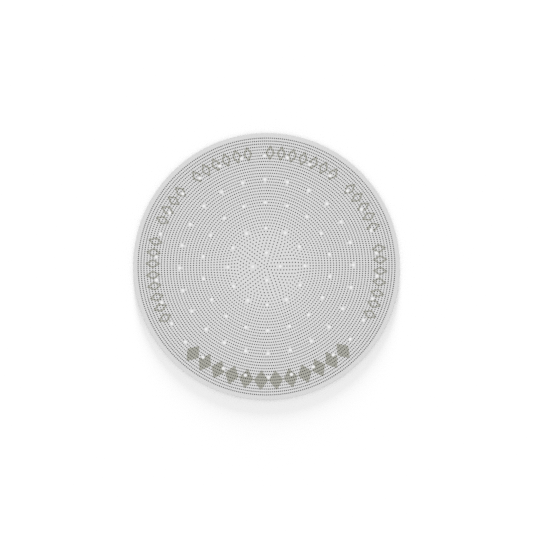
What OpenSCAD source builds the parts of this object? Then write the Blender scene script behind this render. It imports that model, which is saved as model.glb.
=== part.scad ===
// Espresso puck screen: a thin round sheet of etched steel that lies on the coffee in a filter basket.
// It lies flat on its plain back, with its raised dots up. The origin is the centre of the back.

/* [Disc] */
// Diameter of the disc, which drops into a basket for 58 mm tampers
disc_d = 58.5; // [54:0.5:62]
// Thickness of the sheet, without the dots
sheet_t = 0.5; // [0.3:0.05:0.8]
// Width of the bevel round both edges of the disc
edge_bevel = 0.08; // [0.02:0.01:0.12]
// Least width of plain rim left outside the holes
rim_w = 0.9; // [0.5:0.1:3]

/* [Holes] */
// Diameter of a hole
hole_d = 0.28; // [0.2:0.01:0.4]
// Distance from one ring of holes to the next
ring_gap = 0.64; // [0.6:0.01:0.8]
// Number of rings, counted from the centre, that have few holes
inner_rings = 10; // [4:1:14]
// Holes that a ring in this middle has more than the ring inside it
inner_gain = 5; // [3:1:6]
// Holes that a ring further out has more than the ring inside it
outer_gain = 10; // [6:1:12]
// Number of rings next to the rim that all have the same holes
edge_rings = 3; // [1:1:6]
// Holes on each of these rings
edge_holes = 400; // [300:1:440]

/* [Holes cut in the solid] */
// One ring in this many is cut, and one hole in this many along it, each at its true size and place
cut_step = 5; // [5:1:12]

/* [Dots] */
// Diameter of a raised dot
dot_d = 0.78; // [0.5:0.02:1.2]
// Height of a raised dot above the sheet
dot_h = 0.3; // [0.1:0.05:0.6]
// Radius of each ring of dots
dot_ring_r = [3, 8.44, 14.03, 19.07, 24.27]; // [2:0.01:26]
// Number of dots on each ring of dots
dot_ring_n = [4, 12, 18, 24, 30]; // [1:1:40]
// Direction of the first dot on every ring, counted from the X axis
dot_start = 90; // [0:1:359]

/* [Hidden] */

disc_r = disc_d / 2;
rings = floor((disc_r - rim_w - hole_d / 2) / ring_gap);
dots = [
    for (i = [0 : len(dot_ring_r) - 1], j = [0 : dot_ring_n[i] - 1])
        dot_ring_r[i] * direction(dot_start + 360 * j / dot_ring_n[i])
];
dot_reach = (dot_d + hole_d) / 2;

// Holes and dots are too small for more sides to show, and there are hundreds of them
hole_sides = 5;
dot_sides = 8;
disc_sides = 180;
overcut = 1;

// Half of the sheet's section, from the axis out to the bevelled edge
sheet_section = [
    [0, 0],
    [disc_r - edge_bevel, 0],
    [disc_r, edge_bevel],
    [disc_r, sheet_t - edge_bevel],
    [disc_r - edge_bevel, sheet_t],
    [0, sheet_t]
];

function direction(angle) = [cos(angle), sin(angle)];

// Holes on ring k of the full pattern
function ring_holes(k) =
    k <= inner_rings ? inner_gain * k
    : k <= rings - edge_rings ? inner_gain * inner_rings + outer_gain * (k - inner_rings)
    : edge_holes;

function clear_of_dots(at) = min([for (dot = dots) norm(at - dot)]) >= dot_reach;

module hole(at, angle) {
    translate(at) rotate(angle) circle(d = hole_d, $fn = hole_sides);
}

// Each ring starts with a hole on the X axis, and a hole gives way to a dot
module hole_rings() {
    hole([0, 0], 0);
    for (k = [rings : -cut_step : 1], j = [0 : cut_step : ring_holes(k) - 1]) {
        angle = 360 * j / ring_holes(k);
        at = k * ring_gap * direction(angle);
        if (clear_of_dots(at)) hole(at, angle);
    }
}

module sheet() {
    difference() {
        rotate_extrude($fn = disc_sides) polygon(sheet_section);
        translate([0, 0, -overcut]) linear_extrude(sheet_t + 2 * overcut) hole_rings();
    }
}

// The dots are rooted in the sheet and keep the screen off what presses on it
module raised_dots() {
    for (at = dots)
        translate([at.x, at.y, sheet_t / 2]) cylinder(d = dot_d, h = sheet_t / 2 + dot_h, $fn = dot_sides);
}

module puck_screen() {
    color("silver") union() {
        sheet();
        raised_dots();
    }
}

puck_screen();
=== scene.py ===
"""Espresso puck screen: the etched steel sheet with its holes, dots and laser marks, and a plain studio."""

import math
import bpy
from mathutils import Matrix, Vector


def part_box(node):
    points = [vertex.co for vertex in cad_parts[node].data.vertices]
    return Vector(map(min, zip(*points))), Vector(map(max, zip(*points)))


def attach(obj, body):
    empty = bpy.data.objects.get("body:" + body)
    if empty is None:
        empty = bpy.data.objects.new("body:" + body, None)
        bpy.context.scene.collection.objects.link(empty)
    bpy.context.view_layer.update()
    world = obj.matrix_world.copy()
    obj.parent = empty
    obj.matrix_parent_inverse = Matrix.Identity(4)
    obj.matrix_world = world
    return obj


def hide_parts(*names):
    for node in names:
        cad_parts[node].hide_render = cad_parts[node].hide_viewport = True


bl_info = {
    "name": "Espresso puck screen",
    "version": (1, 0, 0),
    "blender": (4, 5, 0),
    "location": "View3D > Sidebar > Puck screen",
    "description": "Models a perforated puck screen and the studio it is shown in",
    "category": "Add Mesh",
}

import bpy
from bpy.props import FloatProperty, FloatVectorProperty, IntProperty, PointerProperty
from mathutils import Vector
from mathutils.kdtree import KDTree

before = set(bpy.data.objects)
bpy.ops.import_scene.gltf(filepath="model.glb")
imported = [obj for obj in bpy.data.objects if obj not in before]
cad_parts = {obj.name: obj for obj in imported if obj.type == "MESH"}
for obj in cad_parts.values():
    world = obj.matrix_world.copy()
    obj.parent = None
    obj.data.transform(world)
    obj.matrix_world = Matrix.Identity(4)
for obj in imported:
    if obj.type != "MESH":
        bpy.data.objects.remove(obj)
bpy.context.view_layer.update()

NODE = "puck_screen"
BODY = "root"
MM = 0.001
FULL_TURN = 2 * math.pi
DISC_LOW, DISC_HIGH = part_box(NODE)
DISC_RADIUS = (DISC_HIGH.x - DISC_LOW.x) / 2
DISC_HEIGHT = DISC_HIGH.z - DISC_LOW.z

# Nearly 7,800 holes stay within the triangle limit with five sides each
HOLE_SIDES = 5
DOT_SIDES = 12
DISC_SIDES = 120

# How far a hole's cutter stands out of the sheet on both sides
OVERCUT = 0.5 * MM

# Edges that turn by more than this are rounded, in this many steps
ROUNDED_ANGLE = math.radians(60)
ROUNDING_STEPS = 2

# Edges that turn by more than this look sharp
SHARP_ANGLE = math.radians(50)

# A face that leans less than this is a wall
WALL_LEAN = math.radians(30)

# Radius of each ring of dots, and how many dots it has. Each ring has a dot on +Y.
DOT_RINGS = ((3.0 * MM, 4), (8.44 * MM, 12), (14.03 * MM, 18), (19.07 * MM, 24), (24.27 * MM, 30))

# First and last cell of each group in the border of laser marks, counted to the left of +Y
MARK_GROUPS = ((-21, -14), (-13, -8), (-7, 0), (1, 7), (8, 12), (13, 21))

# How far above and below the sheet's top face still counts as that face
LEVEL_GAP = 0.02 * MM

# What the grain adds to the steel's colour and roughness, its detail, its depth and how strongly that shows
GRAIN_TONE = 0.08
GRAIN_ROUGHNESS = 0.08
GRAIN_DETAIL = 3.0
GRAIN_DEPTH = 0.004 * MM
BUMP_STRENGTH = 0.5

# What a laser mark adds to the steel's roughness, and the width of a pit in a hole's wall
MARK_ROUGHNESS = 0.25
PIT_WIDTH = 0.03 * MM

# How many times nearer and farther than the disc the camera still sees
CLIP_FACTOR = 100

# A Mix node's inputs for its factor and two colours, and its output for a colour
MIX_FACTOR = 0
MIX_COLOURS = (6, 7)
MIX_RESULT = 2


def hex_colour(text):
    """Linear RGBA of an sRGB hex colour such as #C0C0C0."""
    channels = [int(text.lstrip("#")[i : i + 2], 16) / 255 for i in (0, 2, 4)]
    linear = [c / 12.92 if c <= 0.04045 else ((c + 0.055) / 1.055) ** 2.4 for c in channels]
    return (*linear, 1.0)


def length(name, description, default_mm):
    """A property that holds a length, given in millimetres."""
    return FloatProperty(
        name=name, description=description, default=default_mm * MM, min=0, unit="LENGTH", precision=5
    )


def on_camera(name, description, default_mm):
    """A property that holds a length on the camera, which Blender counts in millimetres."""
    return FloatProperty(name=name, description=description, default=default_mm, min=1, unit="CAMERA")


def angle(name, description, default_degrees):
    """A property that holds an angle, given in degrees."""
    default = math.radians(default_degrees)
    return FloatProperty(name=name, description=description, default=default, subtype="ANGLE")


def number(name, description, default):
    """A property that holds a number of like things."""
    return IntProperty(name=name, description=description, default=default, min=0)


def strength(name, description, default):
    """A property that holds how strong something is."""
    return FloatProperty(name=name, description=description, default=default, min=0)


def colour(name, description, default_hex):
    """A property that holds a colour, given as sRGB hex."""
    default = hex_colour(default_hex)
    return FloatVectorProperty(
        name=name, description=description, default=default, subtype="COLOR", size=4, min=0, max=1
    )


class ScreenSizes(bpy.types.PropertyGroup):
    """Sizes of the screen."""

    sheet: length("Sheet", "Thickness of the sheet without its dots", 0.5)
    edge_round: length("Edge rounding", "Radius round both edges of the disc", 0.08)
    hole: length("Hole", "Diameter of an etched hole", 0.28)
    ring_gap: length("Ring gap", "Distance from one ring of holes to the next", 0.64)
    rings: number("Rings", "Rings of holes round the centre hole", 44)
    inner_rings: number("Inner rings", "Rings with few holes, from the centre", 10)
    inner_gain: number("Inner gain", "Holes that an inner ring has more than the last", 5)
    outer_gain: number("Outer gain", "Holes that a ring further out has more", 10)
    most_holes: number("Most holes", "Most holes on a ring before the edge", 350)
    edge_rings: number("Edge rings", "Rings at the edge with the same holes", 3)
    edge_holes: number("Edge holes", "Holes on each of the rings at the edge", 400)
    dot: length("Dot", "Diameter of a raised dot", 0.78)
    dot_round: length("Dot rounding", "Radius round the top of a dot", 0.05)
    dot_start: angle("Dot start", "Direction of the first dot on each ring", 90)


class SteelFinish(bpy.types.PropertyGroup):
    """Colours and textures of the etched steel."""

    field: colour("Field", "Colour of the steel between the holes", "#D8D8D8")
    rim: colour("Rim", "Colour of the plain rim", "#D6D6D6")
    # The dots are painted lighter than the same steel around them, a painted sheen on the raised dots
    dots: colour("Dots", "Colour of the raised dots", "#E9E9E9")
    mark: colour("Mark", "Colour of a laser mark", "#B6B6AD")
    # The walls' near-black colour is painted shade down the holes, much darker than the steel itself
    wall: colour("Hole walls", "Colour of the dull walls of the holes", "#343434")
    roughness: strength("Roughness", "Roughness of the satin steel", 0.36)
    wall_roughness: strength("Wall roughness", "Roughness of the walls of the holes", 0.65)
    grain_width: length("Grain width", "Width of a streak that rolling leaves in the sheet", 0.25)
    grain_length: length("Grain length", "Length of a streak that rolling leaves in the sheet", 4)


class MarkSizes(bpy.types.PropertyGroup):
    """Sizes of the laser marks: a border of lozenges over the top, and bold lozenges at the bottom."""

    radius: length("Radius", "Radius of the middle of the marks", 24.95)
    cell: angle("Cell", "Angle from one lozenge of the border to the next", 5.65)
    width: angle("Width", "Angle that a lozenge of the border takes up", 4.75)
    height: length("Height", "Height of a lozenge of the border", 3.4)
    stroke: length("Stroke", "Width of a line in the border", 0.35)
    bold_cell: angle("Bold cell", "Angle from one bold lozenge to the next", 7.5)
    bold_width: angle("Bold width", "Angle that a bold lozenge takes up", 7.3)
    bold_height: length("Bold height", "Height of a bold lozenge", 4.4)
    bold_count: number("Bold count", "Number of bold lozenges", 12)


class StudioSettings(bpy.types.PropertyGroup):
    """The floor, the light and the camera."""

    floor: colour("Floor", "Colour of the floor", "#F4F4F4")
    floor_size: length("Floor size", "Side of the square floor", 4000)
    sky: strength("Sky", "Strength of the even light from all round", 0.93)
    softbox_size: length("Softbox size", "Side of the square lamp overhead", 700)
    softbox_height: length("Softbox height", "Height of the lamp overhead", 700)
    softbox_power: strength("Softbox power", "Power of the lamp overhead", 0.1)
    low_light: strength("Low light", "Strength of the low light on the floor", 6.1)
    low_height: angle("Low light height", "Angle of the low light above the floor", 5)
    low_width: angle("Low light width", "Width of the low light as seen from the disc", 9.5)
    lens: on_camera("Lens", "Focal length of the camera", 135)
    sensor: on_camera("Sensor", "Width of the camera's sensor", 36)
    view_width: length("View width", "Width of what the camera sees at the disc", 116.82)
    roll: angle("Roll", "Turn of the disc in the picture", 1.02)


def deselect_all():
    """Leaves nothing selected, because operators act on all that is."""
    if bpy.context.mode != "OBJECT":
        bpy.ops.object.mode_set(mode="OBJECT")
    bpy.ops.object.select_all(action="DESELECT")


def make_active(piece):
    """Selects one piece alone."""
    deselect_all()
    piece.select_set(True)
    bpy.context.view_layer.objects.active = piece


def named(name):
    """Names the object that was just added, and its mesh."""
    piece = bpy.context.object
    piece.name = name
    piece.data.name = name
    return piece


def settle(piece):
    """Puts the piece's place into its mesh, so that its object sits at the origin."""
    make_active(piece)
    bpy.ops.object.transform_apply(location=True, rotation=True, scale=True)


def apply_modifier(piece, kind, **settings):
    """Adds a modifier and applies it at once."""
    make_active(piece)
    modifier = piece.modifiers.new(kind.title(), kind)
    for name, value in settings.items():
        setattr(modifier, name, value)
    bpy.ops.object.modifier_apply(modifier=modifier.name)


def round_edges(piece, radius):
    """Rounds the edges where faces meet at about a right angle, and leaves those of a round wall."""
    apply_modifier(
        piece,
        "BEVEL",
        width=radius,
        segments=ROUNDING_STEPS,
        limit_method="ANGLE",
        angle_limit=ROUNDED_ANGLE,
    )


def repeat_round_z(piece, count):
    """Copies all of a mesh round the Z axis until there are count of it, evenly spaced."""
    if count < 2:
        return
    copies = count - 1
    make_active(piece)
    bpy.ops.object.mode_set(mode="EDIT")
    bpy.ops.mesh.select_all(action="SELECT")
    bpy.ops.mesh.spin(
        steps=copies, dupli=True, angle=FULL_TURN * copies / count, center=(0, 0, 0), axis=(0, 0, 1)
    )
    bpy.ops.object.mode_set(mode="OBJECT")


def join(pieces, name):
    """Joins pieces into the first of them."""
    deselect_all()
    for piece in pieces:
        piece.select_set(True)
    bpy.context.view_layer.objects.active = pieces[0]
    bpy.ops.object.join()
    return named(name)


def combine(piece, other, operation):
    """Cuts the other mesh from the piece or fuses it on, and removes the other."""
    apply_modifier(piece, "BOOLEAN", operation=operation, solver="MANIFOLD", object=other)
    bpy.data.objects.remove(other)


def add_blank(sizes):
    """The plain round sheet, with its two edges rounded."""
    bpy.ops.mesh.primitive_cylinder_add(
        vertices=DISC_SIDES, radius=DISC_RADIUS, depth=sizes.sheet, location=(0, 0, sizes.sheet / 2)
    )
    blank = named("etched_screen")
    settle(blank)
    round_edges(blank, sizes.edge_round)
    return blank


def field_edge(sizes):
    """Radius that all the holes lie within."""
    return sizes.rings * sizes.ring_gap + sizes.hole / 2


def holes_on(ring, sizes):
    """How many holes a ring has: few near the centre, then more, and the same on the last ones."""
    if ring > sizes.rings - sizes.edge_rings:
        return sizes.edge_holes
    if ring <= sizes.inner_rings:
        return sizes.inner_gain * ring
    outer_holes = sizes.outer_gain * (ring - sizes.inner_rings)
    return min(sizes.inner_gain * sizes.inner_rings + outer_holes, sizes.most_holes)


def add_hole_cutter(sizes, radius):
    """One prism at a ring's radius, as wide as it takes to open as much as the round hole does."""
    side = FULL_TURN / HOLE_SIDES
    as_open = math.sqrt(side / math.sin(side))
    # The turn takes the prism's first corner from +Y to +X, which is outward
    bpy.ops.mesh.primitive_cylinder_add(
        vertices=HOLE_SIDES,
        radius=sizes.hole / 2 * as_open,
        depth=sizes.sheet + 2 * OVERCUT,
        location=(radius, 0, sizes.sheet / 2),
        rotation=(0, 0, -FULL_TURN / 4),
    )
    cutter = named("hole_cutter")
    settle(cutter)
    return cutter


def dot_centres(sizes):
    """Where each dot stands."""
    return [
        Vector((math.cos(turn), math.sin(turn), 0)) * radius
        for radius, count in DOT_RINGS
        for turn in (sizes.dot_start + FULL_TURN * i / count for i in range(count))
    ]


def drop_cutters_at_dots(cutters, sizes):
    """Deletes each prism whose hole would touch a dot."""
    centres = dot_centres(sizes)
    nearest_dot = KDTree(len(centres))
    for index, centre in enumerate(centres):
        nearest_dot.insert(centre, index)
    nearest_dot.balance()
    make_active(cutters)
    bpy.ops.object.mode_set(mode="EDIT")
    bpy.ops.mesh.select_mode(type="VERT")
    bpy.ops.mesh.select_all(action="DESELECT")
    bpy.ops.object.mode_set(mode="OBJECT")
    # The vertices of each prism follow one another
    vertices = cutters.data.vertices
    prism = 2 * HOLE_SIDES
    clearance = (sizes.dot + sizes.hole) / 2
    for start in range(0, len(vertices), prism):
        corners = [vertices[i] for i in range(start, start + prism)]
        middle = sum((corner.co for corner in corners), Vector()) / prism
        middle.z = 0
        too_near = nearest_dot.find(middle)[2] < clearance
        for corner in corners:
            corner.select = too_near
    bpy.ops.object.mode_set(mode="EDIT")
    bpy.ops.mesh.delete(type="VERT")
    bpy.ops.object.mode_set(mode="OBJECT")


def add_hole_cutters(sizes):
    """All the holes of the screen as one mesh of prisms, ring by ring."""
    rows = [add_hole_cutter(sizes, 0)]
    for ring in range(1, sizes.rings + 1):
        row = add_hole_cutter(sizes, ring * sizes.ring_gap)
        repeat_round_z(row, holes_on(ring, sizes))
        rows.append(row)
    cutters = join(rows, "hole_cutters")
    drop_cutters_at_dots(cutters, sizes)
    return cutters


def add_dots(sizes):
    """All the raised dots as one mesh: low studs with rounded tops, rooted in the sheet."""
    rows = []
    root = sizes.sheet / 2
    for radius, count in DOT_RINGS:
        bpy.ops.mesh.primitive_cylinder_add(
            vertices=DOT_SIDES,
            radius=sizes.dot / 2,
            depth=DISC_HEIGHT - root,
            location=(0, radius, (DISC_HEIGHT + root) / 2),
        )
        row = named("dots")
        settle(row)
        round_edges(row, sizes.dot_round)
        repeat_round_z(row, count)
        rows.append(row)
    return join(rows, "dots")


def give_walls_painted_shade(screen, sizes):
    """Puts the second material, the steel darkened with painted shade, on the walls of the holes, which lie
    inside the rim and below the dots.
    """
    for face in screen.data.polygons:
        upright = abs(face.normal.z) < math.sin(WALL_LEAN)
        in_field = Vector((face.center.x, face.center.y, 0)).length < field_edge(sizes)
        face.material_index = int(upright and in_field and face.center.z < sizes.sheet)


class PUCKSCREEN_OT_screen(bpy.types.Operator):
    """Model the perforated steel screen with its raised dots"""

    bl_idname = "puckscreen.screen"
    bl_label = "Etched screen"

    def execute(self, context):
        sizes = context.scene.screen_sizes
        finish = context.scene.steel_finish
        screen = add_blank(sizes)
        combine(screen, add_hole_cutters(sizes), "DIFFERENCE")
        combine(screen, add_dots(sizes), "UNION")
        make_active(screen)
        bpy.ops.object.shade_smooth_by_angle(angle=SHARP_ANGLE)
        apply_modifier(screen, "WEIGHTED_NORMAL", mode="FACE_AREA", keep_sharp=True)
        screen.data.materials.clear()
        screen.data.materials.append(etched_steel(finish, sizes, context.scene.mark_sizes))
        screen.data.materials.append(hole_wall_painted_shade(finish))
        # The hole walls get the dark steel whose colour is painted shade
        give_walls_painted_shade(screen, sizes)
        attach(screen, BODY)
        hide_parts(NODE)
        return {"FINISHED"}


def add_node(tree, kind, inputs=(), **settings):
    """Adds a node. Each input, by place or by name, is set to a value or linked to a node or an output."""
    node = tree.nodes.new(kind)
    for name, value in settings.items():
        setattr(node, name, value)
    for key, value in inputs.items() if isinstance(inputs, dict) else enumerate(inputs):
        if isinstance(value, bpy.types.Node):
            value = value.outputs[0]
        if isinstance(value, bpy.types.NodeSocket):
            tree.links.new(node.inputs[key], value)
        else:
            node.inputs[key].default_value = value
    return node


def new_material(name):
    """An empty material and its node tree."""
    material = bpy.data.materials.new(name)
    material.use_nodes = True
    material.node_tree.nodes.clear()
    return material, material.node_tree


def lozenge_row(tree, turn, off_middle, cell, width, height):
    """A lozenge in the middle of each cell of a row round the disc: 0 at its centre, 1 on its outline."""
    off_edge = add_node(tree, "ShaderNodeMath", (turn, cell / 2), operation="PINGPONG")
    slope = (off_edge, -2 / width, cell / width)
    along = add_node(tree, "ShaderNodeMath", slope, operation="MULTIPLY_ADD")
    return add_node(tree, "ShaderNodeMath", (off_middle, 2 / height, along), operation="MULTIPLY_ADD")


def border_marks(tree, turn, off_middle, marks):
    """1 on the border over the top of the disc, which is lozenges in outline, in groups."""
    line = marks.stroke * math.hypot(2 / (marks.width * marks.radius), 2 / marks.height)
    reach = lozenge_row(tree, turn, off_middle, marks.cell, marks.width, marks.height)
    outlines = add_node(tree, "ShaderNodeMath", (reach, 1 - line / 2, line / 2), operation="COMPARE")
    in_group = 0.0
    for first, last in MARK_GROUPS:
        middle = (first + last) / 2 * marks.cell
        half = (last - first) / 2 * marks.cell
        group = add_node(tree, "ShaderNodeMath", (turn, middle, half), operation="COMPARE")
        in_group = add_node(tree, "ShaderNodeMath", (in_group, group), operation="ADD")
    return add_node(tree, "ShaderNodeMath", (outlines, in_group), operation="MULTIPLY")


def bold_marks(tree, turn, off_middle, marks):
    """1 on the row of bold lozenges at the bottom of the disc."""
    reach = lozenge_row(tree, turn, off_middle, marks.bold_cell, marks.bold_width, marks.bold_height)
    filled = add_node(tree, "ShaderNodeMath", (reach, 1.0), operation="LESS_THAN")
    either_way = add_node(tree, "ShaderNodeMath", (turn,), operation="ABSOLUTE")
    first_turn = (FULL_TURN - marks.bold_count * marks.bold_cell) / 2
    at_bottom = add_node(tree, "ShaderNodeMath", (either_way, first_turn), operation="GREATER_THAN")
    return add_node(tree, "ShaderNodeMath", (filled, at_bottom), operation="MULTIPLY")


def mark_mask(tree, across, up, radius, marks):
    """1 on the laser marks."""
    # The turn is counted from +Y, and to the left
    left = add_node(tree, "ShaderNodeMath", (across, -1.0), operation="MULTIPLY")
    turn = add_node(tree, "ShaderNodeMath", (left, up), operation="ARCTAN2")
    from_middle = add_node(tree, "ShaderNodeMath", (radius, marks.radius), operation="SUBTRACT")
    off_middle = add_node(tree, "ShaderNodeMath", (from_middle,), operation="ABSOLUTE")
    border = border_marks(tree, turn, off_middle, marks)
    bold = bold_marks(tree, turn, off_middle, marks)
    return add_node(tree, "ShaderNodeMath", (border, bold), operation="MAXIMUM")


def rolled_grain(tree, place, finish):
    """Streaks along X, from 0 to 1."""
    # Real ones are finer and wouldn't show, so these are drawn about as wide as a pixel of the photograph.
    scale = (1 / finish.grain_length, 1 / finish.grain_width, 1 / finish.grain_width)
    stretched = add_node(tree, "ShaderNodeMapping", {"Vector": place, "Scale": scale})
    inputs = {"Vector": stretched, "Scale": 1.0, "Detail": GRAIN_DETAIL}
    return add_node(tree, "ShaderNodeTexNoise", inputs).outputs["Fac"]


def etched_steel(finish, sizes, marks):
    """304 stainless sheet, cold rolled and then photo-etched."""
    # A fine satin, nearly white under even light, with faint streaks along the way it was rolled.
    material, tree = new_material("stainless_steel_304_photo_etched_satin")
    place = add_node(tree, "ShaderNodeTexCoord").outputs["Object"]
    across, up, height = add_node(tree, "ShaderNodeSeparateXYZ", (place,)).outputs
    flat = add_node(tree, "ShaderNodeCombineXYZ", (across, up))
    radius = add_node(tree, "ShaderNodeVectorMath", (flat,), operation="LENGTH").outputs["Value"]

    on_rim = add_node(tree, "ShaderNodeMath", (radius, field_edge(sizes)), operation="GREATER_THAN")
    on_dot_painted_sheen = add_node(tree, "ShaderNodeMath", (height, sizes.sheet + LEVEL_GAP), operation="GREATER_THAN")
    on_top = add_node(tree, "ShaderNodeMath", (height, sizes.sheet, LEVEL_GAP), operation="COMPARE")
    in_mark = mark_mask(tree, across, up, radius, marks)
    on_mark = add_node(tree, "ShaderNodeMath", (in_mark, on_top), operation="MULTIPLY")
    tint = finish.field
    # The dots' lighter colour is a painted sheen on the same steel
    for mask, other in ((on_rim, finish.rim), (on_dot_painted_sheen, finish.dots), (on_mark, finish.mark)):
        inputs = {MIX_FACTOR: mask, MIX_COLOURS[0]: tint, MIX_COLOURS[1]: other}
        tint = add_node(tree, "ShaderNodeMix", inputs, data_type="RGBA").outputs[MIX_RESULT]

    grain = rolled_grain(tree, place, finish)
    lift = (grain, GRAIN_TONE, 1 - GRAIN_TONE / 2)
    tone = add_node(tree, "ShaderNodeMath", lift, operation="MULTIPLY_ADD")
    streaked = add_node(tree, "ShaderNodeHueSaturation", {"Value": tone, "Color": tint})
    satin = (grain, GRAIN_ROUGHNESS, finish.roughness)
    plain = add_node(tree, "ShaderNodeMath", satin, operation="MULTIPLY_ADD")
    burnt = (on_mark, MARK_ROUGHNESS, plain)
    roughness = add_node(tree, "ShaderNodeMath", burnt, operation="MULTIPLY_ADD")
    relief = {"Height": grain, "Strength": BUMP_STRENGTH, "Distance": GRAIN_DEPTH}
    bump = add_node(tree, "ShaderNodeBump", relief)
    inputs = {"Base Color": streaked, "Metallic": 1.0, "Roughness": roughness, "Normal": bump}
    shader = add_node(tree, "ShaderNodeBsdfPrincipled", inputs)
    add_node(tree, "ShaderNodeOutputMaterial", (shader,))
    return material


def hole_wall_painted_shade(finish):
    """The same steel where the acid ate through it, in a dark colour that is painted shade."""
    # Dull and finely pitted, and its near-black colour is painted shade down a hole, so that it looks dark
    # from above.
    material, tree = new_material("stainless_steel_304_etched_wall_painted_shade")
    place = add_node(tree, "ShaderNodeTexCoord").outputs["Object"]
    pits = add_node(tree, "ShaderNodeTexNoise", {"Vector": place, "Scale": 1 / PIT_WIDTH}).outputs["Fac"]
    relief = {"Height": pits, "Strength": BUMP_STRENGTH, "Distance": GRAIN_DEPTH}
    bump = add_node(tree, "ShaderNodeBump", relief)
    shader = add_node(
        tree,
        "ShaderNodeBsdfPrincipled",
        {"Base Color": finish.wall, "Metallic": 1.0, "Roughness": finish.wall_roughness, "Normal": bump},
    )
    add_node(tree, "ShaderNodeOutputMaterial", (shader,))
    return material


def floor_paint(tint):
    """Matt white studio board."""
    # It scatters nearly all of the light evenly and keeps a soft shadow.
    material, tree = new_material("matt_white_studio_board")
    shader = add_node(tree, "ShaderNodeBsdfDiffuse", {"Color": tint})
    add_node(tree, "ShaderNodeOutputMaterial", (shader,))
    return material


def add_sky(level):
    """Even light from all round, which the camera and the steel see as white."""
    world = bpy.data.worlds.new("studio")
    bpy.context.scene.world = world
    world.use_nodes = True
    tree = world.node_tree
    tree.nodes.clear()
    rays = add_node(tree, "ShaderNodeLightPath").outputs
    seen = rays["Is Camera Ray"]
    for kind in ("Is Glossy Ray", "Is Transmission Ray"):
        seen = add_node(tree, "ShaderNodeMath", (seen, rays[kind]), operation="MAXIMUM")
    glow = add_node(tree, "ShaderNodeMath", (seen, 1 - level, level), operation="MULTIPLY_ADD")
    background = add_node(tree, "ShaderNodeBackground", {"Color": hex_colour("#FFFFFF"), "Strength": glow})
    add_node(tree, "ShaderNodeOutputWorld", (background,))


def add_softbox(studio):
    """A wide square lamp overhead, so that level steel is a little brighter than what slopes."""
    bpy.ops.object.light_add(type="AREA", location=(0, 0, studio.softbox_height))
    lamp = bpy.context.object
    lamp.name = "softbox"
    lamp.data.shape = "SQUARE"
    lamp.data.size = studio.softbox_size
    lamp.data.energy = studio.softbox_power


def add_low_light(studio, floor):
    """A soft light low behind the disc, for the shadow below its lower edge. It lights the floor alone."""
    towards = Vector((0, math.cos(studio.low_height), math.sin(studio.low_height)))
    bpy.ops.object.light_add(type="SUN", location=towards)
    lamp = bpy.context.object
    lamp.name = "low_light"
    lamp.data.energy = studio.low_light
    lamp.data.angle = studio.low_width
    lamp.rotation_euler = (-towards).to_track_quat("-Z", "Y").to_euler()
    lit = bpy.data.collections.new("lit_by_low_light")
    lit.objects.link(floor)
    lamp.light_linking.receiver_collection = lit


def add_camera(studio):
    """Looks straight down on the disc, turned as the photograph is."""
    distance = studio.view_width * studio.lens / studio.sensor
    bpy.ops.object.camera_add(location=(0, 0, DISC_HEIGHT + distance), rotation=(0, 0, -studio.roll))
    camera = bpy.context.object
    camera.name = "camera"
    camera.data.lens = studio.lens
    camera.data.sensor_width = studio.sensor
    camera.data.clip_start = distance / CLIP_FACTOR
    camera.data.clip_end = distance * CLIP_FACTOR
    bpy.context.scene.camera = camera


class PUCKSCREEN_OT_studio(bpy.types.Operator):
    """Add the floor, the soft light and the camera"""

    bl_idname = "puckscreen.studio"
    bl_label = "Studio"

    def execute(self, context):
        studio = context.scene.studio_settings
        deselect_all()
        bpy.ops.mesh.primitive_plane_add(size=studio.floor_size, location=(0, 0, 0))
        floor = named("floor")
        floor.data.materials.append(floor_paint(studio.floor))
        add_sky(studio.sky)
        add_softbox(studio)
        add_low_light(studio, floor)
        add_camera(studio)
        scene = context.scene
        scene.view_settings.view_transform = "Standard"
        # At the photograph's scale a hole is about a pixel wide, and the denoiser would wipe it away
        scene.cycles.use_denoising = False
        return {"FINISHED"}


class PUCKSCREEN_PT_panel(bpy.types.Panel):
    """Lists what can be added"""

    bl_idname = "PUCKSCREEN_PT_panel"
    bl_label = "Puck screen"
    bl_space_type = "VIEW_3D"
    bl_region_type = "UI"
    bl_category = "Puck screen"

    def draw(self, context):
        column = self.layout.column()
        column.operator(PUCKSCREEN_OT_screen.bl_idname)
        column.operator(PUCKSCREEN_OT_studio.bl_idname)


CLASSES = (
    ScreenSizes,
    SteelFinish,
    MarkSizes,
    StudioSettings,
    PUCKSCREEN_OT_screen,
    PUCKSCREEN_OT_studio,
    PUCKSCREEN_PT_panel,
)


def register():
    for item in CLASSES:
        bpy.utils.register_class(item)
    bpy.types.Scene.screen_sizes = PointerProperty(type=ScreenSizes)
    bpy.types.Scene.steel_finish = PointerProperty(type=SteelFinish)
    bpy.types.Scene.mark_sizes = PointerProperty(type=MarkSizes)
    bpy.types.Scene.studio_settings = PointerProperty(type=StudioSettings)


def unregister():
    del bpy.types.Scene.studio_settings
    del bpy.types.Scene.mark_sizes
    del bpy.types.Scene.steel_finish
    del bpy.types.Scene.screen_sizes
    for item in reversed(CLASSES):
        bpy.utils.unregister_class(item)


def main():
    register()
    bpy.ops.puckscreen.screen()
    bpy.ops.puckscreen.studio()


if __name__ == "__main__":
    main()
